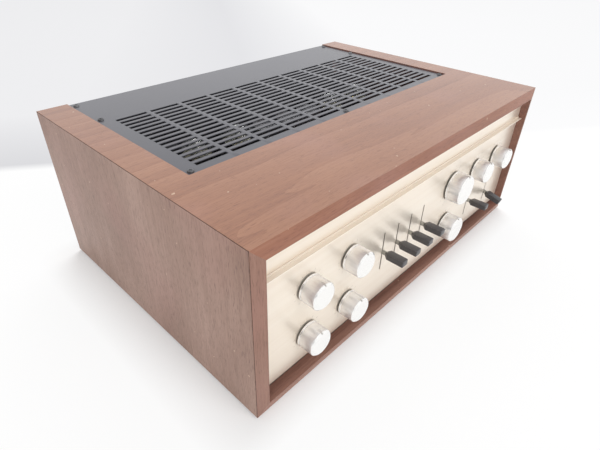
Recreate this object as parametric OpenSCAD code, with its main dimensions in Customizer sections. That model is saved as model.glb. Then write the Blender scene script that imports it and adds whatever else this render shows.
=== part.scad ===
// Integrated valve amplifier in a wooden sleeve: a framed front with a satin metal panel, eight knobs
// and six lever switches, a slotted steel cover on top, and valves, transformers and sockets inside.
// Millimetres. The floor is z = 0, the front faces -Y, and the origin is under the middle of the part.

/* [Case] */
// Width of the wooden case
case_w = 475; // [468:1:520]
// Depth of the case at its outer edges
case_d = 328; // [316:1:380]
// Height of the wooden case without its feet
case_h = 176; // [174:1:200]
// Thickness of the case boards
board_t = 12; // [11:0.5:13]
// How far the inner front edge of each board stands ahead of its outer edge
front_rake = 2.8; // [1:0.1:4]
// Height of the rubber feet, most of it let into the bottom board
foot_h = 6; // [5.5:0.5:8]
// How far the feet stand below the case
foot_out = 2; // [1.6:0.1:3]
// Radius of a foot
foot_r = 15; // [12:0.5:17]
// How much narrower a foot is at the floor
foot_taper = 1; // [0:0.1:2]
// Distance of the foot centres from the sides and ends of the case
foot_inset = 38; // [32:1:44]
// Radius of the screws that hold the feet and the chassis
foot_screw_r = 2.5; // [2:0.1:3]
// Radius of the air holes in the bottom board
air_hole_r = 6; // [4:0.5:9]
// Distance between the air holes
air_hole_pitch = 36; // [24:1:38]

/* [Vent cover] */
// Width of the wood left at each side of the cover
vent_side = 31.5; // [30:0.5:33]
// Depth of the wood left in front of the cover
vent_front = 107.2; // [104:0.2:112]
// How far the cover lies below the wood
cover_recess = 1.6; // [1.5:0.1:3]
// Sheet thickness of the cover
cover_t = 1.2; // [1:0.1:1.6]
// Width of the rebate that the cover rests on at its sides
ledge_side = 13; // [12:0.5:15]
// Width of the rebate at the front of the cover
ledge_front = 12; // [10:0.5:12]
// Number of slot columns
slot_columns = 10; // [4:1:12]
// Number of slot rows
slot_rows = 16; // [6:1:18]
// Distance of the slots from the sides of the cover
slot_margin = 16.5; // [15.5:0.5:20]
// Width of the bridges between the slot columns
slot_bridge = 4.9; // [3:0.1:8]
// Width of a slot
slot_width = 4.6; // [3:0.1:6]
// Distance from row to row
row_pitch = 8.8; // [7:0.1:9]

/* [Front panel] */
// How far the panel lies behind the outer front edge of the case
panel_setback = 6.4; // [5:0.1:9]
// Thickness of the front panel
panel_t = 3; // [2.7:0.1:4]
// Dark gap between the panel and the bottom board
panel_gap = 7; // [3:0.5:9]
// Thickness of the steel plate behind the panel
sub_t = 2; // [1.5:0.1:2.5]
// Height of the rail above the bottom of the case
rail_z = 137.4; // [132:0.1:142]
// Depth of the rail in front of the panel
rail_out = 4.7; // [3:0.1:6]
// Thickness of the rail
rail_t = 1.2; // [1:0.1:2]
// Height of the rail's back leaf
rail_leaf = 2; // [1.5:0.1:3]

/* [Knobs] */
// Radius of the six small knobs
knob_r = 12.8; // [11.5:0.1:14]
// Radius of the volume knob
volume_r = 17.3; // [15:0.1:19]
// Radius of the balance knob
balance_r = 15.3; // [13:0.1:17]
// Length of a knob
knob_length = 17; // [15:0.5:20]
// Gap between a knob and the panel
knob_gap = 1.2; // [0.8:0.1:1.6]
// Width of the plain rim at the foot of a knob
knob_rim = 1.6; // [1:0.1:2.5]
// Chamfer at the front of a knob
knob_chamfer = 1.7; // [1:0.1:2.5]
// Width of the index notch in a knob
index_w = 0.6; // [0.4:0.1:1.2]
// Length of the index notch
index_length = 6; // [4:0.5:12]
// Radius of the control shafts
shaft_r = 3; // [2.5:0.1:3.2]
// Across flats of the control nuts
nut_flats = 14; // [13:0.5:15]
// Height of the upper knob row above the bottom of the case
upper_row = 101.8; // [100:0.2:104]
// Height of the lower knob row
lower_row = 48.4; // [46:0.2:50]
// Distance of the outer tone knobs from the left board
tone_side = 52.7; // [48:0.1:58]
// Distance between the two columns of tone knobs
tone_pitch = 54.6; // [50:0.2:58]
// Distance of the volume and balance knobs right of the middle
volume_x = 65.5; // [62:0.5:70]
// Distance of the source knob from the right board
source_side = 49.5; // [46:0.1:54]
// Distance between the mode knob and the source knob
selector_pitch = 53.4; // [50:0.2:56]

/* [Levers] */
// Distance of the first lever left of the middle
lever_start = 65; // [60:0.5:68]
// Distance between the four middle levers
lever_pitch = 23.8; // [22:0.1:24]
// Height of the four middle levers
lever_row = 78; // [74:0.2:82]
// Height of the two levers under the right knobs
low_lever_row = 58; // [56:0.2:60]
// Distance of the lever pivots behind the face of the panel
pivot_back = 33.6; // [32:0.2:36]
// How far the levers reach out of the panel
lever_out = 26.4; // [24:0.2:29]
// Length of a lever paddle
paddle_length = 22; // [18:0.2:22]
// Width of a paddle
paddle_w = 8.6; // [7:0.1:10]
// Thickness of a paddle
paddle_t = 6.2; // [5:0.1:7]
// Thickness of the lever arms
arm_t = 1; // [0.8:0.1:1.4]
// Height of the lever arms
arm_h = 5; // [4:0.1:5.5]
// Length of the slots in the panel
lever_slot = 45; // [42:0.5:46]
// How far the last lever stands below level, in degrees
lever_down = 15.5; // [12:0.5:20]

/* [Chassis] */
// Distance of the chassis deck below the vent cover
deck_drop = 99.2; // [96:0.2:104]
// Sheet thickness of the chassis
sheet_t = 1.5; // [1.2:0.1:2]
// Distance of the rear panel from the back edge of the case
rear_recess = 13; // [12:0.5:16]
// Depth of the space for the controls behind the panel
control_bay = 60; // [56:1:66]
// Free space between the chassis sides and the case
side_space = 6; // [3:0.5:8]
// Width of the chassis foot flanges
flange_w = 34; // [32:1:38]
// Height of the circuit board above the bottom board
board_z = 34; // [26:1:38]

/* [Inside] */
// Width of the power transformer
power_w = 96; // [84:1:104]
// Height of the power transformer
power_h = 84; // [70:1:86]
// Width of an output transformer
output_w = 74; // [64:1:80]
// Height of an output transformer
output_h = 76; // [64:1:84]
// Depth of the transformers
iron_d = 78; // [70:1:80]
// Free space between the output transformers and the chassis sides
output_side = 47.5; // [40:0.5:54]
// Radius of the power valves
power_valve_r = 19; // [16:0.5:20]
// Height of the power valves above their sockets
power_valve_h = 76; // [66:1:78]
// Radius of the small valves
small_valve_r = 11; // [9:0.5:12]
// Height of the small valves above their sockets
small_valve_h = 52; // [44:1:60]
// Distance from one valve to the next
valve_pitch = 54; // [50:1:56]
// Radius of the capacitor cans
can_r = 17; // [15:0.5:17.5]
// Height of the capacitor cans
can_h = 72; // [60:1:84]

/* [Sockets] */
// Distance of the jack plate from the side of the chassis
jack_side = 9.5; // [8:0.5:14]
// Distance between the signal jacks
jack_pitch = 18; // [17:0.5:20]
// Outer radius of a signal jack
jack_r = 4.2; // [4:0.1:4.5]
// Length of a signal jack
jack_length = 9; // [8:0.5:9]
// Distance between the speaker terminal screws
terminal_pitch = 11; // [10:0.5:12]
// Distance of the fuse and the mains gland from the side of the chassis
fuse_side = 29.5; // [26:0.5:34]
// Radius of the fuse cap
fuse_r = 7; // [6.5:0.1:8]
// Radius of the cord hole in the mains gland
cord_hole_r = 3.6; // [3.4:0.1:4.2]

/* [Hidden] */
$fn = 64;
// Small overlap that joins two solids of one piece, and how far a cut runs past a face
eps = 0.01;
past = 1;
// Clearance of a running fit, of a fitted sheet, and of parts that move past each other
run_gap = 0.05;
fit_gap = 0.3;
move_gap = 0.5;

inner_x = case_w/2 - board_t;
floor_z = board_t;
ceiling_z = case_h - board_t;
front_y = -case_d/2;
back_y = case_d/2;
panel_y = front_y + panel_setback;
sub_y = panel_y + panel_t;
sub_back = sub_y + sub_t;
depth_shift = (lever_out - panel_setback)/2;
foot_x = case_w/2 - foot_inset;
foot_y = case_d/2 - foot_inset;
foot_screw_head = 2*foot_screw_r;
foot_screw_head_h = 0.8*foot_screw_r;

vent_x = case_w/2 - vent_side;
vent_y = front_y + vent_front;
cover_z = case_h - cover_recess - cover_t;
slots_w = 2*(vent_x - slot_margin);
slot_length = (slots_w - (slot_columns - 1)*slot_bridge)/slot_columns;
column_pitch = slot_length + slot_bridge;
slots_front = vent_y + ledge_front + 2*fit_gap;

// The small screws: shank, head, cross slot, and their places on the cover
screw_r = 1.5;
screw_head_r = 3.2;
screw_head_h = 1.5;
screw_dome = 0.7;
screw_slot = 0.7;
screw_depth = 5;
screw_inset = 6;
screw_front = 6.6;
screw_middle = 48;
screw_back = 8;
cover_screw_x = vent_x - screw_inset;
cover_screw_rows = [vent_y + screw_front, (vent_y + back_y)/2 + screw_middle, back_y - screw_back];

deck_z = cover_z - deck_drop;
side_x = inner_x - side_space;
bay_y = sub_back + control_bay;
rear_y = back_y - rear_recess;
rear_tab = 12;
rear_screw_inset = 7;

// The controls: neck, nut, shaft and body, with x, z and radius of each knob
neck_wall = 1.5;
bushing_r = shaft_r + neck_wall;
bushing_out = 2.6;
nut_h = 2.4;
nut_r = nut_flats/2/cos(30);
shaft_grip = 12;
shaft_behind = 9;
knob_step = 0.5;
knob_groove = 0.6;
grip_inset = 0.1;
control_r = 12;
control_d = 12;
gang_gap = 2;
tag_w = 2;
tag_t = 1;
tag_out = 6;
tag_pitch = 5;
wafer_r = 14;
wafer_t = 1.6;
wafer_pitch = 10;
wafer_first = 18;
wafer_count = 3;
stud_end = 2;
stack_d = wafer_first + (wafer_count - 1)*wafer_pitch + stud_end;
stud_r = 1.2;
stud_inset = 3;
volume_drop = 1;
tone_x = tone_side - inner_x;
source_x = inner_x - source_side;
mode_x = source_x - selector_pitch;
KNOBS = [
    [tone_x, upper_row, knob_r],
    [tone_x, lower_row, knob_r],
    [tone_x + tone_pitch, upper_row, knob_r],
    [tone_x + tone_pitch, lower_row, knob_r],
    [volume_x, upper_row - volume_drop, volume_r],
    [volume_x, lower_row, balance_r],
    [mode_x, upper_row, knob_r],
    [source_x, upper_row, knob_r],
];
POTS = [0, 1, 2, 3, 4, 5];
SWITCHES = [6, 7];

// The levers, with x, height and droop of each
LEVERS = [
    [-lever_start, lever_row, 0],
    [-lever_start + lever_pitch, lever_row, 0],
    [-lever_start + 2*lever_pitch, lever_row, 0],
    [-lever_start + 3*lever_pitch, lever_row, 0],
    [mode_x, low_lever_row, 0],
    [source_x, low_lever_row, lever_down],
];
pivot_y = panel_y + pivot_back;
lever_reach = pivot_back + lever_out;
paddle_root = paddle_length - lever_reach;
paddle_grip = 8;
paddle_taper = 3.6;
paddle_edge = 0.5;
pin_r = 1.5;
pin_end = 0.6;
hub_r = 3;
tail_length = 8;
tail_gap = 1.5;
cheek_x = paddle_w/2;
cheek_t = 1.2;
cheek_h = 14;
contact_pin = 4;
contact_pin_t = 1;
contact_pitch = 4;
contact_gap = 1.4;
contact_end = bay_y - contact_gap - contact_pin;
panel_slot_w = arm_t + 2*fit_gap;
sub_slot = 34;
bracket_h = 42;

// Places of the iron, the valves and the cans on the deck
iron_gap = 8;
lamination_inset = 18;
bell_inset = 10;
lug_w = 16;
lug_d = 12;
lug_t = 2;
valve_gap = 8;
row_gap = 10;
can_gap = 3;
can_bevel = 3;
can_pitch = 2*can_r + can_gap;
output_x = side_x - output_side - output_w/2;
iron_y = rear_y - iron_gap - iron_d/2;
valve_y = iron_y - iron_d/2 - iron_gap - power_valve_r;
small_y = valve_y - power_valve_r - row_gap - small_valve_r;
inner_valve_x = can_pitch + can_r + valve_gap + power_valve_r;
outer_valve_x = inner_valve_x + valve_pitch;
socket_h = 7;
socket_depth = 8;
socket_hole_gap = 0.2;
socket_rim = 2;
power_socket_r = power_valve_r - socket_rim;
power_hole_r = power_socket_r - socket_rim;
small_socket_r = small_valve_r;
small_hole_r = small_socket_r - socket_rim;

// The circuit board between the bay wall and the power valves
laminate_t = 1.6;
board_w = 280;
board_front_gap = 17;
board_edge = 8;
board_y = bay_y + sheet_t + board_front_gap;
board_d = valve_y + board_edge - board_y;
pillar_r = 3;
part_r = 5;
part_h = 9;
part_pitch = 22;
part_columns = 11;
part_rows = 4;
part_edge = 16;

// The rear panel's fittings
jack_columns = 6;
jack_hole_r = 1.7;
jack_row = 10;
jack_height = 26;
jack_border = 6;
jack_plate_w = jack_pitch*jack_columns + 2*jack_border;
jack_plate_h = 46;
jack_plate_t = 2;
jack_window_h = 32;
jack_x = -side_x + jack_side + jack_plate_w/2;
jack_z = deck_z + jack_height;
fuse_x = side_x - fuse_side;
fuse_height = 44;
fuse_z = deck_z + fuse_height;
gland_height = 8;
gland_z = deck_z + gland_height;
outlet_height = 20;
outlet_z = deck_z + outlet_height;
outlet_w = 40;
outlet_d = 6;
outlet_h = 26;
outlet_step = 65;
outlet_rise = 30;
outlet_x = fuse_x - outlet_step;
blade_t = 2;
blade_h = 7.5;
blade_x = 6.35;
blade_z = 9;
terminal_count = 6;
terminal_step = 80;
terminal_h = 24;
terminal_t = 4;
terminal_wall = 1.5;
terminal_wall_d = 10;
terminal_screw_r = 3.4;
terminal_x = outlet_x - terminal_step;
terminal_height = 22;
terminal_z = deck_z + terminal_height;
fuse_wall = 1.5;
fuse_neck_r = fuse_r - 2*fuse_wall;
fuse_depth = 30;
fuse_end = 4;
fuse_neck = 6;
fuse_flange_t = 2;
gland_wall = 2;
gland_in = 6;
gland_out = 8;
gland_flange_w = 4;
gland_flange_t = 3;

// Moves the case's own frame, with its bottom at z = 0 and its depth centred, onto the feet.
module placed() {
    translate([0, depth_shift, foot_out]) children();
}

// A box between two corners.
module block(a, b) {
    translate(a) cube(b - a);
}

// A round bar along Y from y0 back to y1.
module bar_y(x, z, r, y0, y1) {
    translate([x, y1, z]) rotate([90, 0, 0]) cylinder(r = r, h = y1 - y0);
}

// A mirrored pair, left and right.
module both_sides() {
    children();
    mirror([1, 0, 0]) children();
}

// The length of the case, cut to an outline drawn in X and Z, so that its ends are mitred.
module mitred(outline) {
    translate([0, back_y, 0]) rotate([90, 0, 0]) linear_extrude(case_d + front_rake) polygon(outline);
}

// The section of a side board, drawn in X and Y, with its raked front edge.
module side_section() {
    polygon([
        [-case_w/2, front_y],
        [-inner_x, front_y - front_rake],
        [-inner_x, back_y],
        [-case_w/2, back_y],
    ]);
}

module side_board() {
    intersection() {
        linear_extrude(case_h) side_section();
        mitred([[-case_w/2, 0], [-inner_x, floor_z], [-inner_x, ceiling_z], [-case_w/2, case_h]]);
    }
}

// The section of the top or bottom board, drawn in Y and Z with its outer face at 0 and its inner above.
module flat_board() {
    rotate([90, 0, 90]) translate([0, 0, -case_w/2]) linear_extrude(case_w) polygon([
        [front_y, 0],
        [front_y - front_rake, board_t],
        [back_y, board_t],
        [back_y, 0],
    ]);
}

module bottom_board() {
    intersection() {
        flat_board();
        mitred([[-case_w/2, 0], [case_w/2, 0], [inner_x, floor_z], [-inner_x, floor_z]]);
    }
}

module case_left_side() {
    color("sienna") placed() side_board();
}

module case_right_side() {
    color("sienna") placed() mirror([1, 0, 0]) side_board();
}

// The top board has a stepped opening for the cover, open at the back, and blind holes for its screws.
module case_top() {
    color("peru") placed() difference() {
        translate([0, 0, case_h]) mirror([0, 0, 1]) bottom_board();
        block([-vent_x, vent_y, cover_z], [vent_x, back_y + past, case_h + past]);
        block([-vent_x + ledge_side, vent_y + ledge_front, ceiling_z - past],
              [vent_x - ledge_side, back_y + past, case_h]);
        for (p = cover_screw_points())
            translate([p[0], p[1], cover_z - screw_depth - fit_gap])
                cylinder(r = screw_r, h = screw_depth + past, $fn = 24);
    }
}

module case_bottom() {
    color("sienna") placed() difference() {
        bottom_board();
        for (p = foot_points()) {
            translate([p[0], p[1], -past])
                cylinder(r = foot_r + fit_gap, h = past + foot_h - foot_out, $fn = 48);
            translate([p[0], p[1], -past]) cylinder(r = foot_screw_r, h = board_t + 2*past, $fn = 32);
        }
        for (x = [-4:4], y = [-1:1])
            translate([x*air_hole_pitch, y*air_hole_pitch, -past])
                cylinder(r = air_hole_r, h = board_t + 2*past, $fn = 32);
    }
}

function foot_points() = [for (x = [-foot_x, foot_x], y = [-foot_y, foot_y]) [x, y]];

// Each foot is a rubber disc in a round recess of the bottom board, tapered where it stands proud.
module feet() {
    color("dimgray") placed() for (p = foot_points()) translate([p[0], p[1], -foot_out]) difference() {
        union() {
            cylinder(r1 = foot_r - foot_taper, r2 = foot_r, h = foot_out, $fn = 48);
            translate([0, 0, foot_out - eps]) cylinder(r = foot_r, h = foot_h - foot_out + eps, $fn = 48);
        }
        translate([0, 0, -past]) cylinder(r = foot_screw_head + past, h = foot_h/2 + past, $fn = 32);
        translate([0, 0, -past]) cylinder(r = foot_screw_r, h = foot_h + 2*past, $fn = 32);
    }
}

// Each foot's screw also holds the chassis flange on the bottom board. Its head sits in the foot.
module foot_screws() {
    seat = foot_h/2 - foot_out;
    color("silver") placed() for (p = foot_points()) translate([p[0], p[1], seat]) {
        cylinder(r = foot_screw_r, h = floor_z + sheet_t + 2 - seat, $fn = 32);
        translate([0, 0, -foot_screw_head_h]) difference() {
            cylinder(r = foot_screw_head, h = foot_screw_head_h, $fn = 32);
            cross_slot(foot_screw_head, foot_screw_head_h/2);
        }
    }
}

// The cross in a screw head whose face looks down, centred on the screw.
module cross_slot(head_r, depth) {
    for (a = [0, 90])
        rotate([0, 0, a]) translate([-head_r*0.6, -head_r*0.1, -past])
            cube([head_r*1.2, head_r*0.2, past + depth]);
}

// The seven screws of the vent cover: three along each side and one in the middle of the front edge.
function cover_screw_points() = concat(
    [for (x = [-cover_screw_x, cover_screw_x], y = cover_screw_rows) [x, y]],
    [[0, cover_screw_rows[0]]]
);

module slot_outline() {
    for (i = [0:slot_columns - 1], j = [0:slot_rows - 1])
        translate([-slots_w/2 + i*column_pitch, slots_front + j*row_pitch])
            square([slot_length, slot_width]);
}

module vent_cover() {
    color("gray") placed() translate([0, 0, cover_z]) linear_extrude(cover_t) difference() {
        translate([-vent_x + fit_gap, vent_y + fit_gap])
            square([2*(vent_x - fit_gap), back_y - vent_y - fit_gap]);
        slot_outline();
        for (p = cover_screw_points()) translate(p) circle(r = screw_r, $fn = 24);
    }
}

// A small cross-headed screw: its head stands above z = 0 and its shank goes down.
module small_screw(shank) {
    difference() {
        cylinder(r1 = screw_head_r, r2 = screw_head_r - screw_dome, h = screw_head_h, $fn = 32);
        translate([0, 0, screw_head_h]) mirror([0, 0, 1]) cross_slot(screw_head_r, screw_slot);
    }
    translate([0, 0, -shank]) cylinder(r = screw_r, h = shank, $fn = 24);
}

// The screws at the ends of the rear panel go into tabs of the chassis.
function rear_screw_points() = [
    for (x = [-1, 1], z = [0.25, 0.75]) [x*(side_x - rear_screw_inset), floor_z + z*(deck_z - floor_z)]
];

module small_screws() {
    color("darkgray") placed() {
        for (p = cover_screw_points())
            translate([p[0], p[1], cover_z + cover_t]) small_screw(cover_t + screw_depth);
        for (p = rear_screw_points())
            translate([p[0], rear_y + sheet_t, p[1]]) rotate([-90, 0, 0]) small_screw(2*sheet_t);
    }
}

module lever_slots(length, width) {
    for (l = LEVERS) translate([l[0] - width/2, l[1] - length/2]) square([width, length]);
}

// A plate that faces the front, from the outline of its children drawn in X and Z.
module front_plate(y, t) {
    translate([0, y + t, 0]) rotate([90, 0, 0]) linear_extrude(t) children();
}

module front_panel() {
    color("antiquewhite") placed() front_plate(panel_y, panel_t) difference() {
        translate([-inner_x + fit_gap, floor_z + panel_gap])
            square([2*(inner_x - fit_gap), ceiling_z - floor_z - panel_gap - fit_gap]);
        for (k = KNOBS) translate([k[0], k[1]]) circle(r = nut_r + move_gap, $fn = 48);
        lever_slots(lever_slot, panel_slot_w);
    }
}

// The rail is an angle: a shelf that stands out of the panel and a low leaf on its back edge.
module panel_rail() {
    color("bisque") placed() {
        block([-inner_x + fit_gap, panel_y - rail_out, rail_z],
              [inner_x - fit_gap, panel_y, rail_z + rail_t]);
        block([-inner_x + fit_gap, panel_y - rail_t/2, rail_z + rail_t - eps],
              [inner_x - fit_gap, panel_y, rail_z + rail_t + rail_leaf]);
    }
}

module control_plate() {
    color("lightslategray") placed() front_plate(sub_y, sub_t) difference() {
        translate([-side_x, floor_z]) square([2*side_x, ceiling_z - floor_z - fit_gap]);
        for (k = KNOBS) translate([k[0], k[1]]) circle(r = bushing_r, $fn = 48);
        lever_slots(sub_slot, panel_slot_w);
    }
}

// A turned knob: a rim at its foot, a fine groove, the grip, and a chamfer round the flat cap. A notch
// across the chamfer is its index.
module knob(index) {
    r = KNOBS[index][2];
    grip_r = r - grip_inset;
    groove_end = knob_rim + knob_groove;
    translate([KNOBS[index][0], panel_y - knob_gap, KNOBS[index][1]]) rotate([90, 0, 0]) difference() {
        rotate_extrude($fn = 96) polygon([
            [0, 0],
            [r, 0],
            [r, knob_rim],
            [r - knob_step, knob_rim],
            [r - knob_step, groove_end],
            [grip_r, groove_end],
            [grip_r, knob_length - knob_chamfer],
            [grip_r - knob_chamfer, knob_length],
            [0, knob_length],
        ]);
        translate([0, 0, -past]) cylinder(r = shaft_r + run_gap, h = shaft_grip + past);
        translate([-index_w/2, r - index_w, knob_length - index_length])
            cube([index_w, knob_rim, knob_length]);
    }
}

module shaft(index) {
    bar_y(KNOBS[index][0], KNOBS[index][1], shaft_r, panel_y - knob_gap - shaft_grip + move_gap,
          sub_back + shaft_behind);
}

module hex_nut() {
    difference() {
        cylinder(r = nut_r, h = nut_h, $fn = 6);
        translate([0, 0, -past]) cylinder(r = bushing_r, h = nut_h + 2*past);
    }
}

module control_nuts() {
    color("silver") placed() for (k = KNOBS) translate([k[0], sub_y, k[1]]) rotate([90, 0, 0]) hex_nut();
}

// The threaded neck of a control and its round body behind the plate.
module control_body(x, z) {
    bar_y(x, z, bushing_r, sub_y - bushing_out, sub_back + eps);
    bar_y(x, z, control_r, sub_back, sub_back + control_d);
}

// The hole of a control for its shaft, a little deeper than the shaft's end.
module shaft_hole(x, z) {
    bar_y(x, z, shaft_r + run_gap, panel_y, sub_back + shaft_behind + move_gap);
}

// Two gangs on one neck, each with three solder tags.
module potentiometer(x, z) {
    second = sub_back + control_d + gang_gap;
    difference() {
        union() {
            control_body(x, z);
            bar_y(x, z, control_r - gang_gap, sub_back + control_d, second);
            bar_y(x, z, control_r, second, second + control_d);
            for (s = [-1, 0, 1], y = [sub_back, second])
                block([x + s*tag_pitch - tag_w/2, y + gang_gap, z - control_r - tag_out],
                      [x + s*tag_pitch + tag_w/2, y + gang_gap + tag_t, z]);
        }
        shaft_hole(x, z);
    }
}

module potentiometers() {
    color("darkkhaki") placed() for (i = POTS) potentiometer(KNOBS[i][0], KNOBS[i][1]);
}

// An index body with three wafers on two studs behind it.
module rotary_switch(x, z) {
    difference() {
        union() {
            control_body(x, z);
            for (s = [-1, 1])
                bar_y(x + s*(control_r - stud_inset), z, stud_r, sub_back, sub_back + stack_d);
            for (i = [0:wafer_count - 1])
                bar_y(x, z, wafer_r, sub_back + wafer_first + i*wafer_pitch,
                      sub_back + wafer_first + i*wafer_pitch + wafer_t);
            bar_y(x, z, shaft_r, sub_back + control_d, sub_back + stack_d);
        }
        shaft_hole(x, z);
    }
}

module rotary_switches() {
    color("tan") placed() for (i = SWITCHES) rotary_switch(KNOBS[i][0], KNOBS[i][1]);
}

// Puts a lever's own frame, with its pivot at the origin and its tip towards -Y, in its place.
module at_lever(index) {
    translate([LEVERS[index][0], pivot_y, LEVERS[index][1]]) rotate([LEVERS[index][2], 0, 0]) children();
}

// A flat arm with a hub for the pivot pin and a short tail that works the contacts.
module lever_arm(index) {
    hub_w = 2*(cheek_x - fit_gap);
    arm_end = paddle_root - paddle_grip;
    at_lever(index) difference() {
        union() {
            translate([-hub_w/2, 0, 0]) rotate([0, 90, 0]) cylinder(r = hub_r, h = hub_w, $fn = 48);
            block([-arm_t/2, arm_end, -arm_h/2], [arm_t/2, 0, arm_h/2]);
            block([-arm_t/2, 0, -arm_h/4], [arm_t/2, tail_length, arm_h/4]);
        }
        translate([-hub_w, 0, 0]) rotate([0, 90, 0]) cylinder(r = pin_r + run_gap, h = 2*hub_w, $fn = 48);
    }
}

// A paddle that narrows towards the panel, seen from above and from the side, with a slot for its arm.
module lever_paddle(index) {
    at_lever(index) difference() {
        intersection() {
            translate([0, 0, -paddle_t/2]) linear_extrude(paddle_t)
                paddle_outline(paddle_w/2, paddle_w/5, paddle_taper);
            translate([-paddle_w/2, 0, 0]) rotate([90, 0, 90]) linear_extrude(paddle_w)
                rotate([0, 0, -90]) paddle_outline(paddle_t/2, paddle_t/4, paddle_taper - paddle_edge);
        }
        block([-arm_t/2, paddle_root - paddle_grip, -arm_h/2], [arm_t/2, paddle_root + past, arm_h/2]);
    }
}

// An outline along Y from the paddle's root to its tip, from its half width and that of its root.
module paddle_outline(half, root_half, taper) {
    polygon([
        [-root_half, paddle_root],
        [-half, paddle_root - taper],
        [-half, -lever_reach + paddle_edge],
        [-half + paddle_edge, -lever_reach],
        [half - paddle_edge, -lever_reach],
        [half, -lever_reach + paddle_edge],
        [half, paddle_root - taper],
        [root_half, paddle_root],
    ]);
}

// Each bracket is a foot on the plate with a slot for the arm, and two cheeks for the pin and the contacts.
module lever_bracket(x, z) {
    outer = cheek_x + cheek_t;
    difference() {
        union() {
            block([x - outer, sub_back, z - bracket_h/2], [x + outer, sub_back + sheet_t, z + bracket_h/2]);
            for (s = [-1, 1])
                block([x + s*(cheek_x + cheek_t/2) - cheek_t/2, sub_back, z - cheek_h/2],
                      [x + s*(cheek_x + cheek_t/2) + cheek_t/2, contact_end, z + cheek_h/2]);
        }
        block([x - panel_slot_w/2, sub_back - past, z - sub_slot/2],
              [x + panel_slot_w/2, sub_back + sheet_t + past, z + sub_slot/2]);
        pivot_bar(x, z, outer + past);
    }
}

// A bar on a lever's pivot axis, to the same distance on both sides.
module pivot_bar(x, z, half) {
    translate([x - half, pivot_y, z]) rotate([0, 90, 0]) cylinder(r = pin_r, h = 2*half, $fn = 48);
}

module lever_brackets() {
    color("lightsteelblue") placed() for (l = LEVERS) lever_bracket(l[0], l[1]);
}

module lever_pins() {
    color("silver") placed() for (l = LEVERS) pivot_bar(l[0], l[1], cheek_x + cheek_t + pin_end);
}

module lever_contacts() {
    color("saddlebrown") placed() for (l = LEVERS) translate([l[0], 0, l[1]]) {
        block([-cheek_x, pivot_y + tail_length + tail_gap, -cheek_h/2], [cheek_x, contact_end, cheek_h/2]);
        for (s = [-1, 0, 1])
            translate([-contact_pin_t, contact_end - eps, s*contact_pitch - contact_pin_t/2])
                cube([2*contact_pin_t, contact_pin, contact_pin_t]);
    }
}

// A deck with a wall in front and a side under each end, on flanges that the foot screws go through.
module chassis() {
    color("lightgray") placed() difference() {
        union() {
            block([-side_x, bay_y, deck_z - sheet_t], [side_x, rear_y, deck_z]);
            block([-side_x, bay_y, floor_z], [side_x, bay_y + sheet_t, deck_z]);
            both_sides() {
                block([side_x - sheet_t, sub_back, floor_z], [side_x, rear_y, deck_z]);
                block([side_x - flange_w, sub_back, floor_z], [side_x, rear_y, floor_z + sheet_t]);
                block([side_x - rear_tab, rear_y - sheet_t, floor_z], [side_x, rear_y, deck_z]);
            }
        }
        for (p = foot_points())
            translate([p[0], p[1], floor_z - past])
                cylinder(r = foot_screw_r, h = sheet_t + 2*past, $fn = 32);
        for (p = rear_screw_points()) bar_y(p[0], p[1], screw_r, rear_y - sheet_t - past, rear_y + past);
        socket_holes(power_points(), power_hole_r);
        socket_holes(small_points(), small_hole_r);
    }
}

module socket_holes(points, hole_r) {
    for (p = points)
        translate([p[0], p[1], deck_z - sheet_t - past])
            cylinder(r = hole_r + socket_hole_gap, h = sheet_t + 2*past, $fn = 48);
}

// The rear panel closes the back up to the cover, with a window for the jacks and holes for fuse and cord.
module rear_panel() {
    color("darkgray") placed() front_plate(rear_y, sheet_t) difference() {
        union() {
            translate([-side_x, floor_z]) square([2*side_x, ceiling_z - floor_z - fit_gap]);
            translate([-vent_x + ledge_side + fit_gap, floor_z])
                square([2*(vent_x - ledge_side - fit_gap), cover_z - floor_z]);
        }
        for (p = rear_screw_points()) translate(p) circle(r = screw_r, $fn = 24);
        translate([jack_x - jack_pitch*jack_columns/2, jack_z - jack_window_h/2])
            square([jack_pitch*jack_columns, jack_window_h]);
        translate([fuse_x, fuse_z]) circle(r = fuse_r - fuse_wall);
        translate([fuse_x, gland_z]) circle(r = cord_hole_r + gland_wall);
    }
}

// A laminated core with its winding and end bells, standing on the deck by four lugs.
module transformer(w, h) {
    core_d = iron_d - 2*lamination_inset;
    translate([-w/2, -core_d/2, 0]) cube([w, core_d, h]);
    translate([-w/2 + bell_inset, -iron_d/2, bell_inset])
        cube([w - 2*bell_inset, iron_d, h - 2*bell_inset]);
    for (x = [-1, 1], y = [-1, 1])
        translate([x*(w - lug_w)/2 - lug_w/2, y*(core_d + lug_d)/2 - lug_d/2, 0])
            cube([lug_w, lug_d, lug_t]);
}

module power_transformer() {
    color("darkslategray") placed() translate([0, iron_y, deck_z]) transformer(power_w, power_h);
}

module output_transformers() {
    color("darkslategray") placed() for (s = [-1, 1])
        translate([s*output_x, iron_y, deck_z]) transformer(output_w, output_h);
}

function power_points() = [
    for (x = [-outer_valve_x, -inner_valve_x, inner_valve_x, outer_valve_x]) [x, valve_y]
];
function small_points() = [for (i = [-2:2]) [i*valve_pitch, small_y]];

// A valve socket hangs in its hole and rests on the deck by its rim.
module socket(r, hole_r) {
    cylinder(r = r, h = socket_h);
    translate([0, 0, -socket_depth]) cylinder(r = hole_r, h = socket_depth + eps);
}

module valve_sockets() {
    color("ivory") placed() {
        for (p = power_points()) translate([p[0], p[1], deck_z]) socket(power_socket_r, power_hole_r);
        for (p = small_points()) translate([p[0], p[1], deck_z]) socket(small_socket_r, small_hole_r);
    }
}

// A closed glass envelope with a rounded top, standing on its socket.
module envelope(r, h) {
    rotate_extrude($fn = 64) intersection() {
        union() {
            square([r, h - r/2]);
            translate([0, h - r/2]) scale([1, 0.5]) circle(r = r);
        }
        square([r, h]);
    }
}

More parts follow.
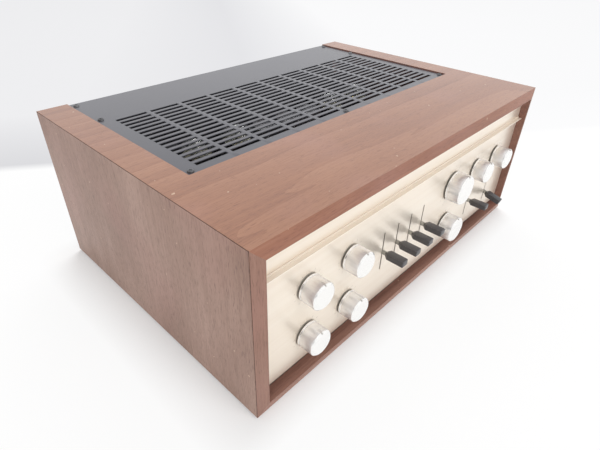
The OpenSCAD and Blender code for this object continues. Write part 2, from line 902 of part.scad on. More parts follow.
module power_valves() {
    color("lightcyan") placed() for (p = power_points()) translate([p[0], p[1], deck_z + socket_h])
        envelope(power_valve_r, power_valve_h);
}

module small_valves() {
    color("lightcyan") placed() for (p = small_points()) translate([p[0], p[1], deck_z + socket_h])
        envelope(small_valve_r, small_valve_h);
}

module capacitor_cans() {
    color("silver") placed() for (i = [-1, 0, 1]) translate([i*can_pitch, valve_y, deck_z]) {
        cylinder(r = can_r, h = can_h - can_bevel);
        translate([0, 0, can_h - can_bevel]) cylinder(r1 = can_r, r2 = can_r - can_bevel, h = can_bevel);
    }
}

// The board hangs from the deck on pillars between the valve sockets, with its parts on the underside.
module circuit_board() {
    pillar_x = (inner_valve_x + outer_valve_x)/2;
    pillar_h = deck_z - sheet_t - floor_z - board_z - laminate_t;
    row_step = (board_d - 2*part_edge)/(part_rows - 1);
    middle = (part_columns - 1)/2;
    color("peru") placed() translate([0, board_y, floor_z + board_z]) {
        block([-board_w/2, 0, 0], [board_w/2, board_d, laminate_t]);
        for (x = [-pillar_x, pillar_x], y = [board_edge, board_d - board_edge])
            translate([x, y, laminate_t]) cylinder(r = pillar_r, h = pillar_h);
        for (i = [0:part_columns - 1], j = [0:part_rows - 1])
            translate([(i - middle)*part_pitch, part_edge + j*row_step, -part_h])
                cylinder(r = part_r, h = part_h + eps, $fn = 24);
    }
}

// Each jack's own frame, with its face towards the back.
module jack_places() {
    for (i = [0:jack_columns - 1], z = [-jack_row, jack_row])
        translate([(i - (jack_columns - 1)/2)*jack_pitch, jack_plate_t, z]) rotate([-90, 0, 0]) children();
}

module signal_jacks() {
    color("dimgray") placed() translate([jack_x, rear_y + sheet_t, jack_z]) difference() {
        union() {
            translate([-jack_plate_w/2, 0, -jack_plate_h/2])
                cube([jack_plate_w, jack_plate_t, jack_plate_h]);
            jack_places() translate([0, 0, -eps]) cylinder(r = jack_r, h = jack_length + eps);
        }
        jack_places() translate([0, 0, -jack_plate_t - past])
            cylinder(r = jack_hole_r, h = jack_plate_t + jack_length + 2*past, $fn = 32);
    }
}

// A barrier strip: a base, a wall between each pair of terminals, and a slotted screw on each.
module speaker_terminals() {
    width = terminal_count*terminal_pitch;
    color("black") placed() translate([terminal_x - width/2, rear_y + sheet_t, terminal_z]) {
        cube([width, terminal_t, terminal_h]);
        for (i = [0:terminal_count])
            translate([i*terminal_pitch - terminal_wall/2, 0, 0])
                cube([terminal_wall, terminal_wall_d, terminal_h]);
        for (i = [0:terminal_count - 1])
            translate([(i + 0.5)*terminal_pitch, terminal_t - eps, terminal_h/2]) rotate([-90, 0, 0])
                terminal_screw();
    }
}

module terminal_screw() {
    difference() {
        cylinder(r = terminal_screw_r, h = terminal_t, $fn = 32);
        translate([-terminal_screw_r - past, -terminal_screw_r/6, terminal_t - past])
            cube([2*(terminal_screw_r + past), terminal_screw_r/3, 2*past]);
    }
}

// A tube for the fuse through the rear panel, with a flange outside.
module fuse_holder() {
    color("black") placed() difference() {
        union() {
            bar_y(fuse_x, fuse_z, fuse_r - fuse_wall, rear_y - fuse_depth, rear_y + sheet_t);
            bar_y(fuse_x, fuse_z, fuse_r + fuse_wall, rear_y + sheet_t, rear_y + sheet_t + fuse_flange_t);
        }
        bar_y(fuse_x, fuse_z, fuse_neck_r, rear_y - fuse_depth + fuse_end,
              rear_y + sheet_t + fuse_flange_t + past);
    }
}

// The bayonet cap: a neck in the holder and a slotted head outside it.
module fuse_cap() {
    head_y = rear_y + sheet_t + fuse_flange_t + fit_gap;
    end_y = rear_y + rear_recess - sheet_t;
    slot_w = fuse_r/6;
    color("black") placed() difference() {
        union() {
            bar_y(fuse_x, fuse_z, fuse_neck_r - run_gap, rear_y - fuse_neck, head_y + eps);
            bar_y(fuse_x, fuse_z, fuse_r, head_y, end_y);
        }
        block([fuse_x - fuse_neck_r - past, end_y - past, fuse_z - slot_w/2],
              [fuse_x + fuse_neck_r + past, end_y + past, fuse_z + slot_w/2]);
    }
}

// Two flat-blade outlets, one above the other.
module mains_outlets() {
    color("black") placed() for (i = [0, 1])
        translate([outlet_x, rear_y + sheet_t, outlet_z + i*outlet_rise]) difference() {
            translate([-outlet_w/2, 0, 0]) cube([outlet_w, outlet_d, outlet_h]);
            for (s = [-blade_x, blade_x])
                translate([s - blade_t/2, past, blade_z]) cube([blade_t, outlet_d, blade_h]);
        }
}

module mains_gland() {
    color("black") placed() difference() {
        union() {
            bar_y(fuse_x, gland_z, cord_hole_r + gland_wall, rear_y - gland_in,
                  rear_y + sheet_t + gland_out);
            bar_y(fuse_x, gland_z, cord_hole_r + gland_flange_w, rear_y + sheet_t,
                  rear_y + sheet_t + gland_flange_t);
        }
        bar_y(fuse_x, gland_z, cord_hole_r, rear_y - gland_in - past, rear_y + sheet_t + gland_out + past);
    }
}

case_top();
case_left_side();
case_right_side();
case_bottom();
feet();
foot_screws();
vent_cover();
small_screws();
front_panel();
panel_rail();
control_plate();
color("gainsboro") placed() knob(0);  // bass_left_knob
color("gainsboro") placed() knob(1);  // treble_left_knob
color("gainsboro") placed() knob(2);  // bass_right_knob
color("gainsboro") placed() knob(3);  // treble_right_knob
color("gainsboro") placed() knob(4);  // volume_knob
color("gainsboro") placed() knob(5);  // balance_knob
color("gainsboro") placed() knob(6);  // mode_knob
color("gainsboro") placed() knob(7);  // source_knob
color("silver") placed() shaft(0);  // bass_left_shaft
color("silver") placed() shaft(1);  // treble_left_shaft
color("silver") placed() shaft(2);  // bass_right_shaft
color("silver") placed() shaft(3);  // treble_right_shaft
color("silver") placed() shaft(4);  // volume_shaft
color("silver") placed() shaft(5);  // balance_shaft
color("silver") placed() shaft(6);  // mode_shaft
color("silver") placed() shaft(7);  // source_shaft
control_nuts();
potentiometers();
rotary_switches();
color("silver") placed() lever_arm(0);  // low_filter_arm
color("silver") placed() lever_arm(1);  // high_filter_arm
color("silver") placed() lever_arm(2);  // tape_arm
color("silver") placed() lever_arm(3);  // tone_defeat_arm
color("silver") placed() lever_arm(4);  // speaker_arm
color("silver") placed() lever_arm(5);  // power_arm
color("dimgray") placed() lever_paddle(0);  // low_filter_paddle
color("dimgray") placed() lever_paddle(1);  // high_filter_paddle
color("dimgray") placed() lever_paddle(2);  // tape_paddle
color("dimgray") placed() lever_paddle(3);  // tone_defeat_paddle
color("dimgray") placed() lever_paddle(4);  // speaker_paddle
color("dimgray") placed() lever_paddle(5);  // power_paddle
lever_brackets();
lever_pins();
lever_contacts();
chassis();
rear_panel();
power_transformer();
output_transformers();
valve_sockets();
power_valves();
small_valves();
capacitor_cans();
circuit_board();
signal_jacks();
speaker_terminals();
fuse_holder();
fuse_cap();
mains_outlets();
mains_gland();
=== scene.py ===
from math import atan2, cos, hypot, pi, radians, sin

import bmesh
import bpy
from mathutils import Matrix, Vector


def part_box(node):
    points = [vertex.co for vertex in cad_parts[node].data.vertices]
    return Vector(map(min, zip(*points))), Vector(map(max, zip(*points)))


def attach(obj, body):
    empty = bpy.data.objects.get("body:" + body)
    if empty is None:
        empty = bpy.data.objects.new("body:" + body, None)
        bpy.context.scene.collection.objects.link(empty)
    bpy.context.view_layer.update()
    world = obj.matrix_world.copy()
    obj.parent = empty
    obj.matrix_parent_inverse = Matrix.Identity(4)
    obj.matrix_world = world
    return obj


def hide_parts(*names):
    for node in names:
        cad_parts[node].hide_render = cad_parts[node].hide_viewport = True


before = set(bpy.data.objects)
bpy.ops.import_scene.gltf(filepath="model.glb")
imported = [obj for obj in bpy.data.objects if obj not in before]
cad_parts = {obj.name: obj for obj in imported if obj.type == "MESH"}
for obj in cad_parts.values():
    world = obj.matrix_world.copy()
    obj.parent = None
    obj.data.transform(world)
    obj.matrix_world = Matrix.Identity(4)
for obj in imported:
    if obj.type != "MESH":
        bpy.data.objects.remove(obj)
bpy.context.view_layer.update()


# The camera stands a little to the left of the case's front corner and looks down across its top.
# It is tilted by a degree and a half, as a camera held by hand is.
camera_place = (-0.3764, -0.3242, 0.3483)
camera_turn, camera_rise, camera_roll = radians(-47.36), radians(34.48), radians(1.57)
away = Vector((sin(camera_turn)*cos(camera_rise), -cos(camera_turn)*cos(camera_rise), sin(camera_rise)))
level = (-away).cross(Vector((0, 0, 1))).normalized()
upright = level.cross(-away)
across = level*cos(camera_roll) + upright*sin(camera_roll)
above = upright*cos(camera_roll) - level*sin(camera_roll)

lens = bpy.data.cameras.new("camera")
lens.sensor_width = 36
lens.lens = 26.98
camera = bpy.data.objects.new("camera", lens)
facing = Matrix((across, above, away)).transposed().to_4x4()
camera.matrix_world = Matrix.Translation(camera_place) @ facing
bpy.context.scene.collection.objects.link(camera)
bpy.context.scene.camera = camera
bpy.context.scene.view_settings.view_transform = "Standard"


# The amplifier stands on a white table. Past the table's end the pale wall of the room takes over, which
# the floor's colour follows. The floor glows less close to the case, so that the case's soft shadow shows
# there. These first lines also hold the small calls that every material below is made with.
def tone(red, green, blue):
    """A screen colour, from 0 to 255, as the linear colour that a shader takes."""
    return tuple(((c/255 + 0.055)/1.055)**2.4 if c > 10 else c/255/12.92 for c in (red, green, blue)) + (1,)


def grey(brightness):
    return (brightness, brightness, brightness, 1)


def add(tree, kind, inputs, **settings):
    """A shader node with its settings, and its inputs given as values or as the outputs they come from."""
    made = tree.nodes.new("ShaderNode" + kind)
    for key, value in settings.items():
        setattr(made, key, value)
    for key, value in inputs.items():
        if isinstance(value, bpy.types.NodeSocket):
            tree.links.new(value, made.inputs[key])
        else:
            made.inputs[key].default_value = value
    return made


def reckon(tree, operation, *values):
    """The number that a maths node makes of its values."""
    return add(tree, "Math", dict(enumerate(values)), operation=operation).outputs[0]


def vector(tree, operation, *values):
    """What a vector maths node gives: a number for a dot product or a length, or else a vector."""
    made = add(tree, "VectorMath", dict(enumerate(values)), operation=operation)
    return made.outputs["Value" if operation in ("DOT_PRODUCT", "LENGTH") else "Vector"]


def mapped(tree, value, start, end, low=0.0, high=1.0, **settings):
    """Goes from low to high as a value goes from start to end."""
    limits = {"From Min": start, "From Max": end, "To Min": low, "To Max": high}
    return add(tree, "MapRange", {"Value": value, **limits}, **settings).outputs[0]


def ramp(tree, factor, *stops):
    """A colour ramp from pairs of place and colour."""
    made = add(tree, "ValToRGB", {0: factor})
    while len(made.color_ramp.elements) < len(stops):
        made.color_ramp.elements.new(0.5)
    for element, (place, colour) in zip(made.color_ramp.elements, stops):
        element.position = place
        element.color = colour
    return made.outputs[0]


def blend(tree, factor, first, second, kind="MIX"):
    """Two colours mixed by a factor."""
    made = add(tree, "Mix", {}, data_type="RGBA", blend_type=kind)
    for socket, value in ((made.inputs[0], factor), (made.inputs[6], first), (made.inputs[7], second)):
        if isinstance(value, bpy.types.NodeSocket):
            tree.links.new(value, socket)
        else:
            socket.default_value = value
    return made.outputs[2]


def finish(name, colour, roughness, metallic=0.0, **sockets):
    """A new material with its tree and its shader, whose plain values are set here."""
    material = bpy.data.materials.new(name)
    material.use_nodes = True
    shader = material.node_tree.nodes["Principled BSDF"]
    shader.inputs["Base Color"].default_value = colour
    shader.inputs["Roughness"].default_value = roughness
    shader.inputs["Metallic"].default_value = metallic
    for key, value in sockets.items():
        shader.inputs[key.replace("_", " ")].default_value = value
    return material, material.node_tree, shader


floor_shape = bmesh.new()
bmesh.ops.create_circle(floor_shape, cap_ends=True, radius=9, segments=96)
floor_mesh = bpy.data.meshes.new("floor")
floor_shape.to_mesh(floor_mesh)
floor_shape.free()
floor = bpy.data.objects.new("floor", floor_mesh)
bpy.context.scene.collection.objects.link(floor)

floor_white, tree, shader = finish("floor white", grey(0.95), 0.6, Specular_IOR_Level=0.1)
ray = add(tree, "LightPath", {}).outputs
seen = reckon(tree, "MAXIMUM", ray["Is Camera Ray"], ray["Is Glossy Ray"])
seen = reckon(tree, "MAXIMUM", seen, ray["Is Transmission Ray"])
place = add(tree, "TexCoord", {}).outputs["Object"]
to_wall, along_wall = (0.565, 0.825, 0.0), (0.825, -0.565, 0.0)
table_end, wall_from, wall_to = 0.244, 0.26, 0.5
past = vector(tree, "DOT_PRODUCT", place, to_wall)
fade = mapped(tree, vector(tree, "DOT_PRODUCT", place, along_wall), -0.4, 0.4)
edge = mapped(tree, past, table_end, table_end + 0.024)
near_wall = ramp(tree, fade, (0.0, tone(219, 219, 222)), (1.0, tone(252, 252, 253)))
far_wall = ramp(tree, fade, (0.0, tone(238, 238, 240)), (0.5, tone(228, 228, 231)),
                (1.0, tone(250, 250, 251)))
wall = blend(tree, mapped(tree, past, wall_from, wall_to), near_wall, far_wall)
backdrop = blend(tree, edge, grey(1.0), wall)

case_middle, case_half, shadow_reach = (0, 0.01, 0), (0.2375, 0.164, 1), 0.06
# The half height is a whole metre, so that only the distance along the floor counts. The shade reaches 50 mm
# from the case's sides and 30 mm from its front and back.
beside = vector(tree, "ABSOLUTE", vector(tree, "SUBTRACT", place, case_middle))
beside = vector(tree, "MAXIMUM", vector(tree, "SUBTRACT", beside, case_half), (0, 0, 0))
beside = vector(tree, "LENGTH", vector(tree, "MULTIPLY", beside, (1.2, 2, 1)))
glow = reckon(tree, "MULTIPLY", mapped(tree, edge, 0, 1, 0.88, 0.97), seen)
glow = reckon(tree, "MULTIPLY", glow, mapped(tree, beside, 0, shadow_reach, 0.34, 1.0))
pale = add(tree, "Emission", {"Color": backdrop, "Strength": 1.0}).outputs[0]
both = add(tree, "MixShader", {0: glow, 1: shader.outputs[0], 2: pale}).outputs[0]
tree.links.new(both, tree.nodes["Material Output"].inputs["Surface"])
floor_mesh.materials.append(floor_white)


# A broad soft lamp hangs above and behind the amplifier, and two others fill its left side and its front.
# The pale room gives the rest of the light. Gloss shows that room, brightest behind the camera, with one
# dark patch low at its left.
def lamp(name, place, size, power):
    """A round lamp that is turned to the amplifier and doesn't show in its gloss."""
    light = bpy.data.lights.new(name, "AREA")
    light.shape = "DISK"
    light.size = size
    light.energy = power
    holder = bpy.data.objects.new(name, light)
    holder.location = place
    holder.rotation_euler = (Vector((0, 0, 0.1)) - Vector(place)).to_track_quat("-Z", "Y").to_euler()
    holder.visible_glossy = False
    bpy.context.scene.collection.objects.link(holder)


lamp("top lamp", (0.9, 0.9, 1.6), 1.5, 25)
lamp("left lamp", (-1.5, -0.6, 0.7), 1.0, 5)
lamp("front lamp", (0.1, -2.0, 1.5), 1.4, 20)

room = bpy.data.worlds.new("room")
bpy.context.scene.world = room
room.use_nodes = True
tree = room.node_tree
tree.nodes.clear()
ray = add(tree, "LightPath", {}).outputs
mirrored = reckon(tree, "MAXIMUM", ray["Is Transmission Ray"], ray["Is Glossy Ray"])
seen = reckon(tree, "MAXIMUM", mirrored, ray["Is Camera Ray"])
heading = add(tree, "TexCoord", {}).outputs["Generated"]
front = mapped(tree, add(tree, "SeparateXYZ", {"Vector": heading}).outputs["Y"], 0.1, -0.3)
bright_room = blend(tree, front, tone(236, 236, 238), grey(1.0))
patch = vector(tree, "DOT_PRODUCT", heading, (-0.8, -0.57, 0.19))
patch = mapped(tree, patch, 0.82, 0.96, interpolation_type="SMOOTHSTEP")
patch = reckon(tree, "MULTIPLY", patch, mirrored)
lit = add(tree, "Background", {"Color": grey(1.0), "Strength": 0.5}).outputs[0]
shown = blend(tree, patch, bright_room, grey(0.1))
shown = add(tree, "Background", {"Color": shown, "Strength": 1.0}).outputs[0]
both = add(tree, "MixShader", {0: seen, 1: lit, 2: shown}).outputs[0]
add(tree, "OutputWorld", {"Surface": both})


# The case is a sleeve of four veneered boards, mitred and glued at the corners. The veneer's grain runs
# along the top and up the sides, and the raked front edges are faced with strips. The glue lines are thin
# and dark.
mm = 0.001
root = "amplifier"


def at(x, y, z):
    """A point of the case, in millimetres from the middle of its bottom, as a place in the frame."""
    return Vector((x, y + 10, z + 2))*mm


def copy_of(node):
    """The shape of a CAD node with its loose triangles joined into whole faces."""
    shape = bmesh.new()
    shape.from_mesh(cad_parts[node].data)
    bmesh.ops.remove_doubles(shape, verts=shape.verts, dist=0.000002)
    bmesh.ops.dissolve_limit(shape, angle_limit=radians(0.5), verts=shape.verts, edges=shape.edges,
                             delimit=set())
    return shape


def soften(shape, width, edges=None, segments=2, material=-1, angle=28):
    """Rounds the sharp outer edges of a shape by a small width."""
    if edges is None:
        edges = shape.edges
    sharp = [e for e in edges if len(e.link_faces) == 2 and e.calc_face_angle_signed() > radians(angle)]
    bmesh.ops.bevel(shape, geom=sharp, offset=width, offset_type="OFFSET", segments=segments, profile=0.5,
                    affect="EDGES", clamp_overlap=True, material=material)


def piece(shape, name, materials, body=root, replaces=(), smooth=32):
    """Makes a shape into a shown piece that rides on a body. Its broad flat faces are shaded flat."""
    shape.normal_update()

    def rounded(face):
        bent = sum(e.calc_length() for e in face.edges if radians(1) < e.calc_face_angle(0) < radians(14))
        return face.calc_area() < 60*mm*mm or bent > 0.3*face.calc_perimeter()

    soft_faces = [rounded(face) for face in shape.faces]
    mesh = bpy.data.meshes.new(name)
    shape.to_mesh(mesh)
    shape.free()
    for material in materials:
        mesh.materials.append(material)
    mesh.set_sharp_from_angle(angle=radians(smooth))
    mesh.polygons.foreach_set("use_smooth", soft_faces)
    made = bpy.data.objects.new(name, mesh)
    bpy.context.scene.collection.objects.link(made)
    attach(made, body)
    if replaces:
        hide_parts(*replaces)
    return made


def refined(node, name, materials, width, body=root):
    """A shown piece that is the CAD node's own shape with its edges rounded by a width in millimetres."""
    shape = copy_of(node)
    soften(shape, width*mm)
    return piece(shape, name, materials, body=body, replaces=[node])


def stretched(tree, place, stretch):
    return add(tree, "Mapping", {"Vector": place, "Scale": stretch}).outputs[0]


def noise(tree, place, detail=2.0, scale=1.0, roughness=0.5):
    inputs = {"Vector": place, "Scale": scale, "Detail": detail, "Roughness": roughness}
    return add(tree, "TexNoise", inputs).outputs[0]


def grained(tree, stretch, detail=2.0):
    """Noise that stays with the piece, with one count of grains a metre, or one for each of its axes."""
    if not isinstance(stretch, tuple):
        stretch = (stretch, stretch, stretch)
    place = add(tree, "TexCoord", {}).outputs["Object"]
    return noise(tree, stretched(tree, place, stretch), detail)


def paint(tree, shader, grain, dark, light, start=0.3, end=0.7):
    """Colours a material from dark to light as its grain goes from start to end."""
    tree.links.new(ramp(tree, grain, (start, dark), (end, light)), shader.inputs["Base Color"])


def gloss(tree, shader, grain, low, high):
    """Varies a material's roughness with its grain."""
    tree.links.new(mapped(tree, grain, 0, 1, low, high), shader.inputs["Roughness"])


def relief(tree, shader, height, depth, strength):
    """A bump of a real depth in metres."""
    bump = add(tree, "Bump", {"Height": height, "Distance": depth, "Strength": strength})
    tree.links.new(bump.outputs[0], shader.inputs["Normal"])


def walnut(name, dark, middle, light, turn=(0, 0, 0), shift=(0, 0, 0), rings=0.2, coat=0.25, pore=0.35,
           clouds=0.9):
    """Walnut under a satin lacquer. Its grain runs along X before the turn."""
    material, tree, shader = finish(name, middle, 0.5, Coat_Weight=coat, Coat_Roughness=0.15)
    place = add(tree, "TexCoord", {}).outputs["Object"]
    place = add(tree, "Mapping", {"Vector": place, "Rotation": turn, "Location": shift}).outputs[0]
    slow = stretched(tree, place, (2.2, 7, 7))
    drift = add(tree, "TexNoise", {"Vector": slow, "Scale": 1.0, "Detail": 3.0}).outputs["Color"]
    drift = vector(tree, "SUBTRACT", drift, (0.5, 0.5, 0.5))
    warped = vector(tree, "ADD", place, vector(tree, "MULTIPLY", drift, (0.0, 0.022, 0.022)))

    def along_grain(stretch, detail=2.0, roughness=0.5):
        return noise(tree, stretched(tree, warped, stretch), detail, roughness=roughness)

    figure = add(tree, "TexWave", {"Vector": stretched(tree, warped, (0.11, 1, 1)), "Scale": 19.0,
                                   "Distortion": 2.4, "Detail": 2.0, "Detail Scale": 2.0},
                 wave_type="RINGS", rings_direction="SPHERICAL", wave_profile="SAW").outputs["Fac"]
    streaks = along_grain((5, 260, 260), 4.0, 0.6)
    fibres = along_grain((22, 1300, 1300))
    patches = along_grain((7, 15, 15))
    pores = mapped(tree, along_grain((130, 2100, 2100), 1.0), 0.58, 0.68)

    grain = reckon(tree, "MULTIPLY", figure, rings)
    for part, share in ((streaks, 0.8), (fibres, 0.6), (patches, clouds)):
        grain = reckon(tree, "MULTIPLY_ADD", part, share, grain)
    grain = mapped(tree, grain, 0.75 + rings*0.2, 1.55 + rings*0.8)
    colour = ramp(tree, grain, (0.0, dark), (0.5, middle), (1.0, light))
    warm = mapped(tree, noise(tree, place, 1.0, 11.0), 0.5, 0.75, 0, 0.35)
    colour = blend(tree, warm, colour, tone(170, 124, 112))
    colour = blend(tree, reckon(tree, "MULTIPLY", pores, pore), colour, dark, "MULTIPLY")
    nicks = mapped(tree, noise(tree, place, 1.0, 190.0), 0.775, 0.8, 0, 0.8)
    colour = blend(tree, nicks, colour, tone(206, 176, 150))
    tree.links.new(colour, shader.inputs["Base Color"])
    gloss(tree, shader, streaks, 0.44, 0.6)
    relief(tree, shader, reckon(tree, "MULTIPLY_ADD", pores, -0.8, fibres), 0.00006, 0.6)
    return material


upright_grain = (0, radians(90), 0)
top_veneer = walnut("walnut top", tone(138, 90, 65), tone(158, 109, 81), tone(172, 124, 95),
                    shift=(0.05, 0.16, 0), rings=0.35, coat=1.0)
# Painted sheen: the sides' walnut is greyer and less red than the top's, standing in for the pale sheen of
# their grazing view.
side_veneer_with_sheen = walnut("walnut sides with painted sheen", tone(126, 92, 77), tone(151, 116, 99), tone(172, 138, 122),
                     turn=upright_grain, shift=(0.3, 0.07, 0.2), rings=0.08, coat=0.2, pore=0.6, clouds=1.2)
front_strip = walnut("walnut strips along", tone(128, 79, 60), tone(150, 98, 75), tone(166, 116, 92),
                     shift=(0.7, 0.2, 0.1))
front_post = walnut("walnut strips upright", tone(124, 85, 70), tone(144, 105, 89), tone(162, 125, 108),
                    turn=upright_grain, shift=(0.1, 0.4, 0.3))
# The inside walnut is coloured darker than the veneer, partly as painted shade of the recess round the panel.
inner_wood_shaded = walnut("walnut inside with painted shade", tone(112, 76, 64), tone(136, 95, 81), tone(154, 113, 98),
                    shift=(0.2, 0.5, 0.6), coat=0.1)
glue_line, tree, shader = finish("dark glue line", tone(84, 58, 46), 0.7)
paint(tree, shader, grained(tree, 400), tone(70, 46, 36), tone(104, 74, 60))
outer_face, front_face, inner_face, glue_face = 0, 1, 2, 3


def board(node, name, outward, veneer, strip):
    """A board of the case, with veneer on its outer face, a strip on its front edge and bare wood inside,
    whose darker colour is partly painted shade.
    """
    shape = copy_of(node)
    shape.normal_update()
    for face in shape.faces:
        if face.normal.dot(Vector(outward)) > 0.9:
            face.material_index = outer_face
        elif face.normal.y < -0.9:
            face.material_index = front_face
        else:
            face.material_index = inner_face

    def meets(edge, test):
        kinds = [test(f) for f in edge.link_faces]
        return any(kinds) and not all(kinds)

    def outer(face):
        return face.material_index == outer_face

    def mitre(face):
        return abs(abs(face.normal.x) - abs(face.normal.z)) < 0.05 and abs(face.normal.x) > 0.5

    glued = [e for e in shape.edges if meets(e, outer) and meets(e, mitre)]
    if abs(outward[0]) > 0.5:
        glued += [e for e in shape.edges
                  if meets(e, outer) and any(f.material_index == front_face for f in e.link_faces)]
    soften(shape, 0.35*mm, glued, segments=1, material=glue_face)
    rest = [e for e in shape.edges
            if not any(f.material_index == glue_face or mitre(f) for f in e.link_faces)]
    soften(shape, 0.5*mm, rest, segments=3)
    return piece(shape, name, [veneer, strip, inner_wood_shaded, glue_line], replaces=[node], smooth=40)


board("case_top", "top_board", (0, 0, 1), top_veneer, front_strip)
board("case_bottom", "bottom_board", (0, 0, -1), top_veneer, front_strip)
board("case_left_side", "left_board", (-1, 0, 0), side_veneer_with_sheen, front_post)
board("case_right_side", "right_board", (1, 0, 0), side_veneer_with_sheen, front_post)


# Four black rubber discs sit in round recesses under the bottom board and stand two millimetres proud.
# A plated screw in the middle of each goes up through the board into the chassis.
rubber, tree, shader = finish("black rubber", tone(38, 38, 39), 0.75)
grain = grained(tree, 900, 3.0)
paint(tree, shader, grain, tone(30, 30, 31), tone(52, 51, 50))
relief(tree, shader, grain, 0.0001, 0.5)
refined("feet", "rubber_feet", [rubber], 0.4)


def plated(name, dark, light, roughness, cells=70):
    """Plated or bare metal with faint cloudy patches and fine scratches."""
    material, tree, shader = finish(name, light, roughness, 1.0)
    paint(tree, shader, grained(tree, cells, 4.0), dark, light)
    scratches = grained(tree, (60, 2400, 2400))
    gloss(tree, shader, scratches, roughness - 0.08, roughness + 0.12)
    relief(tree, shader, scratches, 0.00003, 0.4)
    return material


zinc = plated("zinc plate", tone(150, 150, 146), tone(196, 196, 192), 0.36)
refined("foot_screws", "foot_fixings", [zinc], 0.15)


# The chassis is folded from plated sheet steel: a deck, a wall in front and a side at each end. It stands
# on flanges that the foot screws hold. Handling has left the plating a little cloudy.
chassis_zinc = plated("chassis zinc", tone(132, 132, 126), tone(182, 181, 174), 0.42, 40)
refined("chassis", "steel_chassis", [chassis_zinc], 0.25)


# The circuit board is brown paper laminate. It hangs under the deck on four steel pillars, with its
# capacitors and coils on the underside in plain sleeves of three colours.
def laminate(name, dark, light):
    """Phenolic paper laminate, faintly mottled, with a cut-paper grain."""
    material, tree, shader = finish(name, light, 0.55, Coat_Weight=0.1)
    paint(tree, shader, grained(tree, 60, 5.0), dark, light)
    relief(tree, shader, grained(tree, (300, 1500, 1500)), 0.00005, 0.4)
    return material


def sleeve(name, colour, roughness=0.4):
    """A moulded or dipped plastic surface with fine unevenness."""
    material, tree, shader = finish(name, colour, roughness)
    clouds = grained(tree, 90, 3.0)
    darker = tuple(c*0.72 for c in colour[:3]) + (1,)
    paint(tree, shader, clouds, darker, colour)
    gloss(tree, shader, clouds, roughness - 0.05, roughness + 0.1)
    relief(tree, shader, grained(tree, 1400), 0.00004, 0.4)
    return material


brown_board = laminate("brown laminate", tone(104, 70, 40), tone(140, 98, 58))
parts_black = sleeve("black sleeve", tone(40, 40, 44))
parts_blue = sleeve("blue sleeve", tone(52, 84, 122))
parts_ochre = sleeve("ochre dip", tone(176, 116, 48))
shape = copy_of("circuit_board")
low, high = at(0, 0, 46).z, at(0, 0, 47.6).z
for face in shape.faces:
    middle = face.calc_center_median()
    if middle.z > high + 0.2*mm:
        face.material_index = 1
    elif middle.z < low - 0.2*mm:
        face.material_index = 2 + (round(middle.x/(22*mm)) + round(middle.y/(9*mm))) % 3
soften(shape, 0.4*mm)
piece(shape, "wiring_board", [brown_board, zinc, parts_black, parts_blue, parts_ochre],
      replaces=["circuit_board"])


# The power transformer stands in the middle of the deck and an output transformer at each side. Each is a
# stack of steel laminations between two pressed bells, held by four bolts and painted black.
def enamel(name, colour, roughness, peel=0.00006, coat=0.0):
    """Sprayed enamel on steel, slightly uneven in gloss, with a fine orange peel."""
    material, tree, shader = finish(name, colour, roughness, Coat_Weight=coat, Coat_Roughness=0.2)
    clouds = grained(tree, 14, 4.0)
    lighter = tuple(min(1, c*1.16 + 0.002) for c in colour[:3]) + (1,)
    paint(tree, shader, clouds, colour, lighter, 0.35)
    gloss(tree, shader, clouds, roughness - 0.07, roughness + 0.09)
    relief(tree, shader, grained(tree, 700), peel, 0.5)
    return material


def box_of(shape, low, high, material=0):
    """A box between two corners, in case millimetres. Its edges are given back."""
    low, high = at(*low), at(*high)
    made = bmesh.ops.create_cube(shape, size=1)
    bmesh.ops.scale(shape, vec=high - low, verts=made["verts"])
    bmesh.ops.translate(shape, vec=(high + low)/2, verts=made["verts"])
    for vert in made["verts"]:
        for face in vert.link_faces:
            face.material_index = material
    return list(dict.fromkeys(e for v in made["verts"] for e in v.link_edges))


def rounded_box(shape, low, high, width, segments=3, material=0):
    """A box whose edges are all rounded by the same width."""
    bmesh.ops.bevel(shape, geom=box_of(shape, low, high, material), offset=width*mm, offset_type="OFFSET",
                    segments=segments, profile=0.5, affect="EDGES", clamp_overlap=True, material=-1)


def turned(shape, centre, axis, profile, steps=32, material=0):
    """Spins a profile, given as radius and height in millimetres, round an axis through a point."""
    known, axis = set(shape.faces), Vector(axis)
    side = Vector((1, 0, 0)) if abs(axis.x) < 0.5 else Vector((0, 0, 1))
    points = [shape.verts.new(centre + side*r*mm + axis*h*mm) for r, h in profile]
    lines = [shape.edges.new(pair) for pair in zip(points, points[1:])]
    bmesh.ops.spin(shape, geom=points + lines, cent=centre, axis=axis, angle=2*pi, steps=steps,
                   use_merge=True, use_duplicate=False)
    for face in shape.faces:
        if face not in known:
            face.material_index = material


def close(shape):
    """Merges the poles and seams of spun shapes and turns their faces outwards."""
    bmesh.ops.remove_doubles(shape, verts=shape.verts, dist=0.000002)
    bmesh.ops.recalc_face_normals(shape, faces=shape.faces)


black_enamel = enamel("black enamel", tone(40, 40, 43), 0.38)
stack_edges, tree, shader = finish("lamination edges", tone(58, 56, 56), 0.45, 0.6)
place = add(tree, "TexCoord", {}).outputs["Object"]
sheets = add(tree, "TexWave", {"Vector": place, "Scale": 95.0, "Distortion": 0.4},
             wave_type="BANDS", bands_direction="Y").outputs["Fac"]
paint(tree, shader, sheets, tone(30, 29, 30), tone(74, 72, 71), 0.2, 0.6)
relief(tree, shader, sheets, 0.0002, 0.6)

